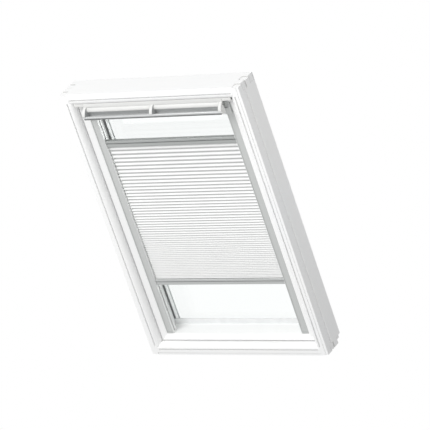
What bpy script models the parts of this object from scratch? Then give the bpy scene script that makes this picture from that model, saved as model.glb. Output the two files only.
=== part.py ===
# Centre-pivot roof window with a pleated blind held between two side rails, modelled upright.
# X runs across the window, Z up the slope of the roof, and Y from the room side out to the weather.
# In the helpers, t is a distance inwards from the window's outer edge and n a depth from its room face.

import math

import bmesh
import bpy
from mathutils import Matrix, Vector

# Whole window
WIDTH = 0.780
HEIGHT = 1.120
GAP = 0.0003                  # between pieces that touch

# Frame members
FRAME_WIDTH = 0.0475          # how far a member reaches in from the outer edge
FRAME_DEPTH = 0.110
STRIP_STEP = 0.011            # outer part of the room face, which lies a little deeper
STRIP_STEP_DEPTH = 0.0025
LINING_GROOVE_AT = 0.022
LINING_GROOVE_WIDTH = 0.0055  # takes the edge of the room's lining
LINING_GROOVE_DEPTH = 0.009
LINING_GROOVE_STOP = 0.037    # its distance from the window's corners
CHEEK_DEPTH = 0.023           # rounded slope from the groove to the sash gap
SIDE_GROOVE = (0.037, 0.047)  # depths of the groove along the outer sides
SIDE_GROOVE_DEPTH = 0.006
CORNER_JOINT = 0.028          # size of the finger joint at each corner
FINGERS = 4
FINGER_SET_BACK = 0.003       # of the fingers' ends behind the neighbour's outer face
SILL_STEP_1 = (0.016, 0.027)  # how far the sill's weather side steps in, and how far from its back
SILL_STEP_2 = (0.029, 0.008)
FRAME_COVER_DEPTH = 0.0031
FRAME_COVER_INSET = 0.0008
SCREW_RADIUS = 0.0042
SCREW_HEAD = 0.0022
SCREW_AT = 0.300

# Seal between frame and sash, in a groove of the frame
SEAL_WIDTH = 0.006
SEAL_SINK = 0.004
SEAL_PROUD = 0.0007

# Sash
SASH_GAP = 0.004              # running gap between frame and sash
SASH_FACE_DEPTH = 0.0238      # depth of the sash face at its outer edge
SASH_FACE_FALL = 0.0078       # how much deeper the face is at its inner edge
SASH_WIDTH = 0.0238
SASH_EDGE = 0.0020            # rounding of the face's two edges
SASH_THROAT = 0.0037          # slope of the inner side towards the glass
SASH_THROAT_FROM = 0.058
SASH_SHOULDER = 0.097         # depth where the gasket lies on the sash
SASH_WALL = 0.009             # wall outside the edge of the glass
SASH_BACK_CLEARANCE = 0.0017  # from the glass to the back of the sash
SASH_CAP_DEPTH = 0.0030
SASH_CAP_INSET = 0.001
SASH_CAP_LIP = 0.003

# Glass
GASKET_DEPTH = 0.0027
GASKET_SHOWS = 0.006          # past the sash, but not along the sill
PANE = 0.004
PANE_CAVITY = 0.0154
GLASS_CLEARANCE = 0.002       # round the edge of the glass
SPACER_SHOWS = 0.005
SPACER_WIDTH = 0.014
SETTING_BLOCK_LENGTH = 0.060
SETTING_BLOCK_AT = 0.200

# Pivots and lock
PIVOT_DEPTH = 0.0769          # depth of the axis that the sash turns on
PIVOT_RADIUS = 0.006
PIVOT_CLEARANCE = 0.0002
PIVOT_BORE_CLEARANCE = 0.002  # in the jamb, behind the bracket
PIVOT_REACH = 0.012           # of the pin, into the jamb and into the stile
PIVOT_PLATE = (0.003, 0.040, 0.090)
LOCK_BEHIND_PIVOT = 0.012
LOCK_CASE = (0.060, 0.012, 0.012)
STRIKE_PLATE = (0.050, 0.014, 0.002)

# Ventilation flap and control bar on the sash head. Each place is a pair: how far inwards from the
# sash's outer edge, and how far out of the sash's face into the room.
FLAP_WALL = 0.0025
FLAP_TOP = (0.0015, 0.0023)
FLAP_LIP = (0.0185, 0.0238)
FLAP_ROLL = 0.007             # radius of its lower edge, which rolls inwards
FLAP_ROLL_TURN = 60
ARM_WIDTH = 0.012
ARM_INSET = 0.094             # of an outer arm's middle from the window's side
ARM_TOP = (0.0, 0.0023)
ARM_DROP = 0.003              # its front runs straight down for this much above the bar
ARM_BULGE = 0.7               # 0 for a straight front, 1 for a quarter of an ellipse
BAR_AT = (0.0370, 0.0388)
BAR_HEIGHT = 0.011
BAR_DEPTH = 0.009
BAR_ROUND = 0.003
GRIP_PLATE = 0.0018           # thickness of the plate behind the finger gap
GRIP_HIGH = 0.0210            # its upper and lower edge, inwards from the sash's outer edge
GRIP_LOW = 0.0470
ARM_BEHIND_BAR = 0.0015       # how far an arm reaches below the bar behind it
HINGE_AT = (0.0105, 0.0098)
HINGE_PIN = 0.0018
HINGE_EYE = 0.0036
HINGE_BLOCK = 0.014
HINGE_LUG = 0.004
HINGE_SPREAD = 0.150
HINGE_BORE = HINGE_PIN + GAP
FILTER_INSET = 0.150          # from the window's side
FILTER_BAND = (0.0155, 0.0210)  # its edges, inwards from the sash's outer edge
FILTER_SINK = 0.0092          # behind the sash's face
FILTER_DEPTH = 0.007

# Blind: rails, bars and cloth
RAIL_WIDTH = 0.030
RAIL_DEPTH = 0.023
RAIL_WALL = 0.0016
RAIL_BEHIND_FACE = 0.0006     # behind the inner edge of the sash's face
RAIL_SLOT = 0.004
RAIL_SINK = 0.0018            # shallow channel between the lips of its face
RAIL_LIP = 0.003
RAIL_FOOT = 0.006
BRACKET_SIDE = 0.003          # from the rail's outer edge
BRACKET_WIDTH = 0.042
BRACKET_PLATE = 0.0033
BRACKET_TOP = 0.0105          # above the top of the rail
BRACKET_LOW = 0.043           # below the top of the rail
BLIND_BAR_HEIGHT = 0.024
BLIND_BAR_DEPTH = 0.018
BLIND_BAR_EDGE = 0.0012
TOP_BAR_LOW = 0.320           # Z of its lower edge
BOTTOM_BAR_LOW = -0.2726      # Z of its lower edge
BAR_GROOVE = (0.0120, 0.0155)  # heights of its finger groove's edges above the bar's lower edge
BAR_GROOVE_DEPTH = 0.004
SLIDER_HEIGHT = 0.018
SLIDER_CLEARANCE = 0.0006
PLEAT_FACE = 0.010            # width of cloth from one fold to the next
PLEAT_SPREAD = 0.546          # height of the hanging cloth as a share of its flat length
PLEAT_TIGHTEST = 0.36         # lowest pleat's height as a share of the highest one's
PLEAT_FALLOFF = 1.6
CLOTH_THICKNESS = 0.0008
CLOTH_SIDE_CLEARANCE = 0.002

REACH = 0.02                  # how far a cutter stands clear of what it cuts

# Edges and depths that follow from the sizes above
CHEEK_START = LINING_GROOVE_AT + LINING_GROOVE_WIDTH
SASH_OUTER = FRAME_WIDTH + SASH_GAP
SASH_INNER = SASH_OUTER + SASH_WIDTH
SASH_SIGHT = SASH_INNER + SASH_THROAT
GLASS_EDGE = SASH_OUTER + SASH_WALL + GLASS_CLEARANCE
INNER_PANE = SASH_SHOULDER + GASKET_DEPTH + 2 * GAP
OUTER_PANE = INNER_PANE + PANE + PANE_CAVITY + 2 * GAP
SASH_BACK = OUTER_PANE + PANE + SASH_BACK_CLEARANCE
LOCK_DEPTH = PIVOT_DEPTH + LOCK_BEHIND_PIVOT
RAIL_OUTER = SASH_INNER + GAP
RAIL_INNER = RAIL_OUTER + RAIL_WIDTH
RAIL_FACE = SASH_FACE_DEPTH + SASH_FACE_FALL + RAIL_BEHIND_FACE
RAIL_HALF = HEIGHT / 2 - SASH_INNER - GAP
BLIND_DEPTH = RAIL_FACE + RAIL_DEPTH / 2
CLOTH_HIGH = TOP_BAR_LOW - GAP
CLOTH_LOW = BOTTOM_BAR_LOW + BLIND_BAR_HEIGHT + GAP
PLEATS = round((CLOTH_HIGH - CLOTH_LOW) / (2 * PLEAT_FACE * PLEAT_SPREAD))
ARM_AT = WIDTH / 2 - ARM_INSET
FLAP_HALF = ARM_AT - ARM_WIDTH / 2 - GAP

# The coordinate origin lies in the middle of the whole window's box
WEATHER_SIDE = SASH_BACK + GAP + SASH_CAP_DEPTH
ROOM_SIDE = SASH_FACE_DEPTH - BAR_AT[1] - BAR_DEPTH / 2
ROOM_FACE_Y = -(WEATHER_SIDE + ROOM_SIDE) / 2

FINISHES = {
    "white_frame": ((0.88, 0.88, 0.87), 0.45, 0.0),
    "white_plastic": ((0.86, 0.86, 0.84), 0.35, 0.0),
    "grey_aluminium": ((0.56, 0.58, 0.57), 0.38, 0.85),
    "cover_grey": ((0.16, 0.17, 0.18), 0.45, 0.3),
    "steel": ((0.60, 0.60, 0.58), 0.35, 1.0),
    "rubber": ((0.045, 0.048, 0.050), 0.7, 0.0),
    "glass": ((0.92, 0.97, 0.96), 0.03, 0.0),
    "spacer": ((0.42, 0.43, 0.43), 0.4, 0.7),
    "cloth": ((0.90, 0.90, 0.88), 0.9, 0.0),
    "foam": ((0.10, 0.10, 0.10), 0.95, 0.0),
}
SIDES = ((-1, "left"), (1, "right"))
ENDS = ((1, "head"), (-1, "sill"))


def clear_scene():
    for old in list(bpy.data.objects):
        bpy.data.objects.remove(old, do_unlink=True)


def finish_material(name, finish):
    colour, roughness, metallic = FINISHES[finish]
    material = bpy.data.materials.new(name)
    material.use_nodes = True
    shader = material.node_tree.nodes["Principled BSDF"]
    shader.inputs["Base Color"].default_value = (*colour, 1.0)
    shader.inputs["Roughness"].default_value = roughness
    shader.inputs["Metallic"].default_value = metallic
    if finish == "glass":
        shader.inputs["Alpha"].default_value = 0.3
    return material


def world_place(thing):
    place = Vector((0, 0, 0))
    while thing:
        place += thing.location
        thing = thing.parent
    return place


def empty_at(name, place, parent=None):
    empty = bpy.data.objects.new(name, None)
    empty.empty_display_size = 0.05
    bpy.context.collection.objects.link(empty)
    empty.parent = parent
    empty.location = Vector(place) - world_place(parent)
    return empty


def add_object(name, bm, finish, parent=None):
    """Makes an object of a mesh given in window coordinates, with its origin in the middle of its box."""
    bmesh.ops.recalc_face_normals(bm, faces=bm.faces)
    lows = Vector([min(v.co[i] for v in bm.verts) for i in range(3)])
    highs = Vector([max(v.co[i] for v in bm.verts) for i in range(3)])
    middle = (lows + highs) / 2
    bmesh.ops.translate(bm, verts=bm.verts, vec=-middle)
    mesh = bpy.data.meshes.new(name)
    bm.to_mesh(mesh)
    bm.free()
    mesh.shade_smooth()
    mesh.set_sharp_from_angle(angle=math.radians(32))
    thing = bpy.data.objects.new(name, mesh)
    bpy.context.collection.objects.link(thing)
    thing.parent = parent
    thing.location = middle - world_place(parent)
    if finish:
        mesh.materials.append(finish_material(name, finish))
    return thing


def combine(thing, operation, tools):
    """Cuts meshes in window coordinates out of the object, or joins them to it as one solid."""
    for number, bm in enumerate(tools):
        tool = add_object(f"{thing.name}_{operation.lower()}_{number}", bm, None)
        tool.hide_render = True
        tool.display_type = "WIRE"
        boolean = thing.modifiers.new(f"{operation.lower()}_{number}", "BOOLEAN")
        boolean.operation = operation
        boolean.solver = "EXACT"
        boolean.object = tool


def cut(thing, *tools):
    combine(thing, "DIFFERENCE", tools)


def join(thing, *tools):
    combine(thing, "UNION", tools)


def box(x, y, z):
    """A box from three pairs of limits, each in any order."""
    bm = bmesh.new()
    size = [abs(high - low) for low, high in (x, y, z)]
    middle = [(low + high) / 2 for low, high in (x, y, z)]
    matrix = Matrix.Translation(middle) @ Matrix.Diagonal((*size, 1.0))
    bmesh.ops.create_cube(bm, size=1.0, matrix=matrix)
    return bm


def rod(start, end, radius, segments=24):
    """A round solid from one point to another."""
    start, end = Vector(start), Vector(end)
    bm = bmesh.new()
    turn = (end - start).to_track_quat("Z", "Y").to_matrix().to_4x4()
    matrix = Matrix.Translation((start + end) / 2) @ turn
    bmesh.ops.create_cone(bm, cap_ends=True, segments=segments, radius1=radius, radius2=radius,
                          depth=(end - start).length, matrix=matrix)
    return bm


def prism(corners, along):
    """A closed solid swept from a flat outline of 3D corners along a vector."""
    bm = bmesh.new()
    face = bm.faces.new([bm.verts.new(c) for c in corners])
    grown = bmesh.ops.extrude_face_region(bm, geom=[face])["geom"]
    moved = [g for g in grown if isinstance(g, bmesh.types.BMVert)]
    bmesh.ops.translate(bm, verts=moved, vec=Vector(along))
    return bm


def depth_y(n):
    return ROOM_FACE_Y + n


def side_x(side, t):
    return side * (WIDTH / 2 - t)


def end_z(end, t):
    return end * (HEIGHT / 2 - t)


def arc(centre, radii, start, stop, steps):
    """Points on an ellipse's arc, angles in degrees."""
    angles = [math.radians(start + (stop - start) * i / steps) for i in range(steps + 1)]
    return [(centre[0] + radii[0] * math.cos(a), centre[1] + radii[1] * math.sin(a)) for a in angles]


def swept(profile, stations, closed=False):
    """Sweeps an outline of (t, n) past stations, each a function from t to the point (x, z)."""
    bm = bmesh.new()
    rings = []
    for station in stations:
        points = [(station(t), n) for t, n in profile]
        rings.append([bm.verts.new((x, depth_y(n), z)) for (x, z), n in points])
    pairs = list(zip(rings, rings[1:]))
    if closed:
        pairs.append((rings[-1], rings[0]))
    else:
        bm.faces.new(rings[0])
        bm.faces.new(rings[-1])
    for low, high in pairs:
        for i in range(len(profile)):
            j = (i + 1) % len(profile)
            bm.faces.new((low[i], low[j], high[j], high[i]))
    return bm


def corner(side, end, trim_x=0.0, trim_z=0.0):
    """The station where a sweep meets a corner's mitre, drawn back from it by a trim."""
    return lambda t: (side_x(side, t + trim_x), end_z(end, t + trim_z))


def mitred(side, end, profile):
    """A member along one edge with mitred ends. One of side and end is 0."""
    trim = GAP / math.sqrt(2)
    if side:
        return swept(profile, [corner(side, -1, trim_z=trim), corner(side, 1, trim_z=trim)])
    return swept(profile, [corner(-1, end, trim_x=trim), corner(1, end, trim_x=trim)])


def upright(side, profile, low, high):
    return swept(profile, [lambda t: (side_x(side, t), low), lambda t: (side_x(side, t), high)])


def crosswise(end, profile, half, middle=0.0):
    return swept(profile, [lambda t: (middle - half, end_z(end, t)),
                           lambda t: (middle + half, end_z(end, t))])


def frame_profile(side_groove, sill_steps):
    """Outline of a frame member: stepped face, rounded cheek, weather side and outer side."""
    front = [(0, STRIP_STEP_DEPTH), (STRIP_STEP, STRIP_STEP_DEPTH), (STRIP_STEP, 0)]
    cheek = arc((CHEEK_START, CHEEK_DEPTH), (FRAME_WIDTH - CHEEK_START, CHEEK_DEPTH), -90, 0, 7)
    profile = front + cheek + [(FRAME_WIDTH, FRAME_DEPTH)]
    if sill_steps:
        profile += sill_step_line(FRAME_DEPTH) + [(0, FRAME_DEPTH - SILL_STEP_1[1])]
    else:
        profile += [(0, FRAME_DEPTH)]
    if side_groove:
        profile += side_groove_line()[::-1]
    return profile


def sill_step_line(back):
    (step_1, run_1), (step_2, run_2) = SILL_STEP_1, SILL_STEP_2
    from_1, from_2 = FRAME_DEPTH - run_1, FRAME_DEPTH - run_2
    return [(step_2, back), (step_2, from_2), (step_1, from_2), (step_1, from_1)]


def side_groove_line():
    low, high = SIDE_GROOVE
    slope = (high - low) / 5
    return [(0, low), (SIDE_GROOVE_DEPTH, low + slope), (SIDE_GROOVE_DEPTH, high - slope), (0, high)]


def corner_block(side, end, outline, n_low, n_high):
    """A solid over an outline of (t from the side, t from the end) at one corner of the window."""
    corners = [(side_x(side, a), depth_y(n_low), end_z(end, b)) for a, b in outline]
    return prism(corners, (0, n_high - n_low, 0))


def corner_cutters(side, end, for_jamb):
    """What one member leaves to its neighbour at a corner: half the fingers, and half the mitre inside."""
    half = GAP / 2
    slant = half * math.sqrt(2)
    joint, far = CORNER_JOINT, FRAME_WIDTH + REACH
    mitre = [(joint - half, -REACH), (joint - half, joint + slant - half), (far, far + slant), (far, -REACH)]
    block = [(-REACH, -REACH), (joint + half, -REACH), (joint + half, joint + half), (-REACH, joint + half)]
    if not for_jamb:
        mitre = [(b, a) for a, b in mitre]
    set_back = [(-REACH, -REACH), (FINGER_SET_BACK, -REACH), (FINGER_SET_BACK, far), (-REACH, far)]
    if for_jamb:
        set_back = [(b, a) for a, b in set_back]
    cutters = [corner_block(side, end, outline, -REACH, FRAME_DEPTH + REACH) for outline in (mitre, set_back)]
    finger = FRAME_DEPTH / FINGERS
    for number in range(FINGERS):
        if (number % 2 == 0) == for_jamb:
            continue
        low = number * finger - half if number else -REACH
        high = (number + 1) * finger + half if number < FINGERS - 1 else FRAME_DEPTH + REACH
        cutters.append(corner_block(side, end, block, low, high))
    return cutters


def seal_groove():
    """Outline of the groove that holds the seal."""
    low, high = PIVOT_DEPTH - SEAL_WIDTH / 2, PIVOT_DEPTH + SEAL_WIDTH / 2
    return [(FRAME_WIDTH - SEAL_SINK, low), (FRAME_WIDTH + REACH, low), (FRAME_WIDTH + REACH, high),
            (FRAME_WIDTH - SEAL_SINK, high)]


def lining_groove():
    high = LINING_GROOVE_AT + LINING_GROOVE_WIDTH
    return [(LINING_GROOVE_AT, -REACH), (high, -REACH), (high, LINING_GROOVE_DEPTH),
            (LINING_GROOVE_AT, LINING_GROOVE_DEPTH)]


def pivot_plate_box(side, t_low, t_high, grow=0.0):
    half_y, half_z = PIVOT_PLATE[1] / 2 + grow, PIVOT_PLATE[2] / 2 + grow
    middle = depth_y(PIVOT_DEPTH)
    return box((side_x(side, t_low), side_x(side, t_high)), (middle - half_y, middle + half_y),
               (-half_z, half_z))


def pivot_rod(side, t_low, t_high, radius):
    y = depth_y(PIVOT_DEPTH)
    return rod((side_x(side, t_low), y, 0), (side_x(side, t_high), y, 0), radius)


def build_frame():
    groove_end = FRAME_WIDTH - SEAL_SINK
    for side, word in SIDES:
        jamb = add_object(f"frame_jamb_{word}",
                          upright(side, frame_profile(True, False), -HEIGHT / 2, HEIGHT / 2), "white_frame")
        back = FRAME_DEPTH + REACH
        steps = sill_step_line(back) + [(-REACH, FRAME_DEPTH - SILL_STEP_1[1]), (-REACH, back)]
        steps_across = [(side_x(side, -REACH), depth_y(n), end_z(-1, t)) for t, n in steps]
        cut(jamb,
            *corner_cutters(side, 1, True),
            *corner_cutters(side, -1, True),
            prism(steps_across, (-side * (FRAME_WIDTH + 2 * REACH), 0, 0)),
            upright(side, lining_groove(), -HEIGHT / 2 + LINING_GROOVE_STOP, HEIGHT / 2 - LINING_GROOVE_STOP),
            upright(side, seal_groove(), end_z(-1, groove_end), end_z(1, groove_end)),
            pivot_plate_box(side, FRAME_WIDTH - PIVOT_PLATE[0] - GAP, FRAME_WIDTH + REACH, GAP),
            pivot_rod(side, FRAME_WIDTH - PIVOT_REACH - GAP, FRAME_WIDTH + REACH,
                      PIVOT_RADIUS + PIVOT_BORE_CLEARANCE))
    for end, word in ENDS:
        member = add_object(f"frame_{word}", crosswise(end, frame_profile(end < 0, end < 0), WIDTH / 2),
                            "white_frame")
        cut(member,
            *corner_cutters(-1, end, False),
            *corner_cutters(1, end, False),
            crosswise(end, lining_groove(), WIDTH / 2 - LINING_GROOVE_STOP),
            crosswise(end, seal_groove(), side_x(1, groove_end)))
        if end > 0:
            cut(member, lock_box(STRIKE_PLATE, FRAME_WIDTH + REACH, FRAME_WIDTH - STRIKE_PLATE[2] - GAP, GAP))
    add_object("strike_plate", lock_box(STRIKE_PLATE, FRAME_WIDTH, FRAME_WIDTH - STRIKE_PLATE[2]), "steel")


def lock_box(size, t_low, t_high, grow=0.0):
    half_x, half_y = size[0] / 2 + grow, size[1] / 2 + grow
    middle = depth_y(LOCK_DEPTH)
    return box((-half_x, half_x), (middle - half_y, middle + half_y), (end_z(1, t_low), end_z(1, t_high)))


def cap_outline(outer, inner, low, high, fold):
    return [(outer, low), (inner, low), (inner, high - fold), (inner - fold, high), (outer + fold, high),
            (outer, high - fold)]


def build_frame_covers():
    """Thin metal covers on the weather side of the frame, with their screws."""
    low = FRAME_DEPTH + GAP
    high = low + FRAME_COVER_DEPTH
    fold = FRAME_COVER_DEPTH / 2
    outer, inner = FRAME_COVER_INSET, FRAME_WIDTH - FRAME_COVER_INSET
    profile = cap_outline(outer, inner, low, high, fold)
    add_object("head_cover", mitred(0, 1, profile), "cover_grey")
    foot = SILL_STEP_2[0] + FRAME_COVER_INSET
    trim = GAP / math.sqrt(2)
    for side, word in SIDES:
        stations = [lambda t: (side_x(side, t), end_z(-1, foot)), corner(side, 1, trim_z=trim)]
        add_object(f"jamb_cover_{word}", swept(profile, stations), "cover_grey")
        for z, place in ((SCREW_AT, "upper"), (-SCREW_AT, "lower")):
            x = side_x(side, FRAME_WIDTH / 2)
            start, end = (x, depth_y(high + GAP), z), (x, depth_y(high + GAP + SCREW_HEAD), z)
            add_object(f"cover_screw_{place}_{word}", rod(start, end, SCREW_RADIUS, 16), "steel")
    sill = cap_outline(foot, inner, low, high, fold)
    add_object("sill_cover", crosswise(-1, sill, side_x(1, inner) - GAP), "cover_grey")


def build_seals():
    """An upper and a lower seal in the frame's groove, each running round two corners to the pivots."""
    back, front = FRAME_WIDTH - SEAL_SINK + GAP, FRAME_WIDTH + SEAL_PROUD
    half, lip = SEAL_WIDTH / 2 - GAP, SEAL_WIDTH / 5
    middle = PIVOT_DEPTH
    profile = [(back, middle - half), (FRAME_WIDTH, middle - half), (front, middle - lip),
               (front, middle + lip), (FRAME_WIDTH, middle + half), (back, middle + half)]
    stop = PIVOT_PLATE[2] / 2 + 2 * GAP
    for end, word in ((1, "upper"), (-1, "lower")):
        stations = [lambda t: (side_x(-1, t), end * stop), corner(-1, end), corner(1, end),
                    lambda t: (side_x(1, t), end * stop)]
        add_object(f"frame_seal_{word}", swept(profile, stations), "rubber")


def build_pivots(sash):
    plate = PIVOT_PLATE[0]
    hole = PIVOT_RADIUS + PIVOT_CLEARANCE
    for side, word in SIDES:
        outer_plate = pivot_plate_box(side, FRAME_WIDTH - plate, FRAME_WIDTH)
        bracket = add_object(f"pivot_bracket_{word}", outer_plate, "steel")
        cut(bracket, pivot_rod(side, FRAME_WIDTH - REACH, FRAME_WIDTH + REACH, hole))
        inner_plate = pivot_plate_box(side, SASH_OUTER, SASH_OUTER + plate)
        inner = add_object(f"pivot_plate_{word}", inner_plate, "steel", sash)
        cut(inner, pivot_rod(side, SASH_OUTER - REACH, SASH_OUTER + REACH, hole))
        pin = pivot_rod(side, FRAME_WIDTH - PIVOT_REACH, SASH_OUTER + PIVOT_REACH, PIVOT_RADIUS)
        add_object(f"pivot_pin_{word}", pin, "steel", sash)


def face_depth(t):
    """Depth of the sash's flat face at a distance t from the window's outer edge."""
    return SASH_FACE_DEPTH + SASH_FACE_FALL * (t - SASH_OUTER - SASH_EDGE) / (SASH_WIDTH - 2 * SASH_EDGE)


def sash_profile():
    """Outline of a sash member: rounded face, sloping throat, shoulder and wall round the glass."""
    r = SASH_EDGE
    outer = arc((SASH_OUTER + r, SASH_FACE_DEPTH + r), (r, r), 180, 270, 4)
    inner = arc((SASH_INNER - r, SASH_FACE_DEPTH + SASH_FACE_FALL + r), (r, r), -90, 0, 4)
    wall = SASH_OUTER + SASH_WALL
    return outer + inner + [(SASH_INNER, SASH_THROAT_FROM), (SASH_SIGHT, SASH_SHOULDER),
                            (wall, SASH_SHOULDER), (wall, SASH_BACK), (SASH_OUTER, SASH_BACK)]


def build_sash(sash):
    profile = sash_profile()
    head = add_object("sash_head", mitred(0, 1, profile), "white_frame", sash)
    add_object("sash_sill", mitred(0, -1, profile), "white_frame", sash)
    for side, word in SIDES:
        stile = add_object(f"sash_stile_{word}", mitred(side, 0, profile), "white_frame", sash)
        cut(stile,
            pivot_plate_box(side, SASH_OUTER - REACH, SASH_OUTER + PIVOT_PLATE[0] + GAP, GAP),
            pivot_rod(side, SASH_OUTER - REACH, SASH_OUTER + PIVOT_REACH + GAP, PIVOT_RADIUS + GAP))
    deep = SASH_OUTER + LOCK_CASE[2]
    low, high = [SASH_OUTER + edge for edge in FILTER_BAND]
    front = SASH_FACE_DEPTH + FILTER_SINK
    back = front + FILTER_DEPTH
    half = WIDTH / 2 - FILTER_INSET
    pocket = [(low, -REACH), (high, -REACH), (high, back), (low, back)]
    cut(head, lock_box(LOCK_CASE, SASH_OUTER - REACH, deep + GAP, GAP), crosswise(1, pocket, half))
    add_object("lock_case", lock_box(LOCK_CASE, SASH_OUTER, deep), "steel", sash)
    strip = [(low + GAP, front), (high - GAP, front), (high - GAP, back - GAP), (low + GAP, back - GAP)]
    add_object("vent_filter", crosswise(1, strip, half - GAP), "foam", sash)


def pane(n):
    half_x, half_z = WIDTH / 2 - GLASS_EDGE, HEIGHT / 2 - GLASS_EDGE
    return box((-half_x, half_x), (depth_y(n), depth_y(n + PANE)), (-half_z, half_z))


def closed_ring(t_low, t_high, n_low, n_high):
    profile = [(t_low, n_low), (t_high, n_low), (t_high, n_high), (t_low, n_high)]
    return swept(profile, [corner(-1, -1), corner(1, -1), corner(1, 1), corner(-1, 1)], closed=True)


def build_glass(sash):
    low = SASH_SHOULDER + GAP
    gasket = closed_ring(GLASS_EDGE, SASH_SIGHT + GASKET_SHOWS, low, low + GASKET_DEPTH)
    inner_edge = SASH_SIGHT + GASKET_SHOWS
    half = WIDTH / 2 - inner_edge
    sill_part = box((-half, half), (depth_y(low - REACH), depth_y(low + REACH)),
                    (end_z(-1, SASH_SIGHT), end_z(-1, inner_edge + REACH)))
    cut(add_object("glazing_gasket", gasket, "rubber", sash), sill_part)
    add_object("inner_pane", pane(INNER_PANE), "glass", sash)
    add_object("outer_pane", pane(OUTER_PANE), "glass", sash)
    spacer_in, spacer = SASH_SIGHT + SPACER_SHOWS, INNER_PANE + PANE + GAP
    add_object("spacer_bar", closed_ring(spacer_in - SPACER_WIDTH, spacer_in, spacer, spacer + PANE_CAVITY),
               "spacer", sash)
    for side, word in SIDES:
        low, high = SETTING_BLOCK_AT - SETTING_BLOCK_LENGTH / 2, SETTING_BLOCK_AT + SETTING_BLOCK_LENGTH / 2
        block = box((side * low, side * high), (depth_y(INNER_PANE), depth_y(OUTER_PANE + PANE)),
                    (end_z(-1, SASH_OUTER + SASH_WALL + GAP), end_z(-1, GLASS_EDGE - GAP)))
        add_object(f"setting_block_{word}", block, "rubber", sash)


def build_sash_caps(sash):
    """Caps on the weather side of the sash, whose inner lips hold the glass down."""
    low = SASH_BACK + GAP
    high = low + SASH_CAP_DEPTH
    fold = SASH_CAP_DEPTH / 2
    outer, inner = SASH_OUTER + SASH_CAP_INSET, SASH_SIGHT + GASKET_SHOWS
    lip = OUTER_PANE + PANE + GAP
    profile = [(outer, low), (inner - SASH_CAP_LIP, low), (inner - SASH_CAP_LIP, lip), (inner, lip),
               (inner, high - fold), (inner - fold, high), (outer + fold, high), (outer, high - fold)]
    for end, word in ENDS:
        add_object(f"sash_cap_{word}", mitred(0, end, profile), "cover_grey", sash)
    for side, word in SIDES:
        add_object(f"sash_cap_{word}", mitred(side, 0, profile), "cover_grey", sash)


def on_sash(place):
    """A place given from the sash's outer edge and face, as (t, n)."""
    return SASH_OUTER + place[0], SASH_FACE_DEPTH - place[1]


def flap_curve(offset, start=0, stop=90, steps=8):
    """Points of the flap's outer line from its upper edge to its lip, moved inwards by an offset."""
    (top_t, top_n), (lip_t, lip_n) = on_sash(FLAP_TOP), on_sash(FLAP_LIP)
    reach_t, reach_n = lip_t - top_t, top_n - lip_n
    points = []
    for i in range(steps + 1):
        a = math.radians(start + (stop - start) * i / steps)
        t = top_t + reach_t * (1 - math.cos(a))
        n = top_n - reach_n * math.sin(a)
        inward = Vector((reach_n * math.cos(a), reach_t * math.sin(a))).normalized()
        points.append((t + inward[0] * offset, n + inward[1] * offset))
    return points


def flap_line(offset):
    """The flap's whole line: its curve and the rolled lower edge."""
    lip_t, lip_n = on_sash(FLAP_LIP)
    radius = FLAP_ROLL - offset
    roll = arc((lip_t, lip_n + FLAP_ROLL), (radius, radius), 270, 270 + FLAP_ROLL_TURN, 5)
    return flap_curve(offset) + roll[1:]


def arm_front(steps=8):
    """Front line of an arm, from the flap's upper edge out to the face of the bar."""
    (t, n), (bar_t, bar_n) = on_sash(ARM_TOP), on_sash(BAR_AT)
    reach_t, reach_n = bar_t - BAR_HEIGHT / 2 - ARM_DROP - t, n - bar_n + BAR_DEPTH / 2
    points = []
    for i in range(steps + 1):
        straight = (1 - ARM_BULGE) * i / steps
        a = math.radians(90 * i / steps)
        points.append((t + reach_t * (straight + ARM_BULGE * (1 - math.cos(a))),
                       n - reach_n * (straight + ARM_BULGE * math.sin(a))))
    return points


def grip_front():
    """Depth of the grip plate's face, which meets the end of the flap's roll."""
    lip_n = on_sash(FLAP_LIP)[1]
    return lip_n + FLAP_ROLL - (FLAP_ROLL - FLAP_WALL) * math.cos(math.radians(FLAP_ROLL_TURN)) + GAP


def hinge_rod(middle, half, radius):
    t, n = on_sash(HINGE_AT)
    y, z = depth_y(n), end_z(1, t)
    return rod((middle - half, y, z), (middle + half, y, z), radius, 16)


def build_flap(flap, sash):
    skin = flap_line(0.0) + flap_line(FLAP_WALL)[::-1]
    cover = add_object("vent_flap", crosswise(1, skin, FLAP_HALF), "white_plastic", flap)
    hinge = on_sash(HINGE_AT)
    lug = flap_curve(FLAP_WALL / 2, 36, 60, 3) + arc(hinge, (HINGE_EYE, HINGE_EYE), -20, 160, 8)
    eye = arc(hinge, (HINGE_EYE, HINGE_EYE), 180, 360, 8)
    low_t, high_t = hinge[0] - HINGE_EYE, hinge[0] + HINGE_EYE
    foot = [(high_t, face_depth(high_t) - GAP), (low_t, face_depth(low_t) - GAP)]
    lug_at = HINGE_BLOCK / 2 + GAP + HINGE_LUG / 2
    for side, word in SIDES:
        middle = side * HINGE_SPREAD
        join(cover, crosswise(1, lug, HINGE_LUG / 2, middle - lug_at),
             crosswise(1, lug, HINGE_LUG / 2, middle + lug_at))
        block = add_object(f"flap_hinge_block_{word}", crosswise(1, eye + foot, HINGE_BLOCK / 2, middle),
                           "white_plastic", sash)
        cut(block, hinge_rod(middle, HINGE_BLOCK, HINGE_BORE))
        half = HINGE_BLOCK / 2 + GAP + HINGE_LUG
        add_object(f"flap_hinge_pin_{word}", hinge_rod(middle, half, HINGE_PIN), "steel", flap)
    for side, _ in SIDES:
        cut(cover, hinge_rod(side * HINGE_SPREAD, HINGE_BLOCK, HINGE_BORE))
    build_control_bar(flap)


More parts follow.
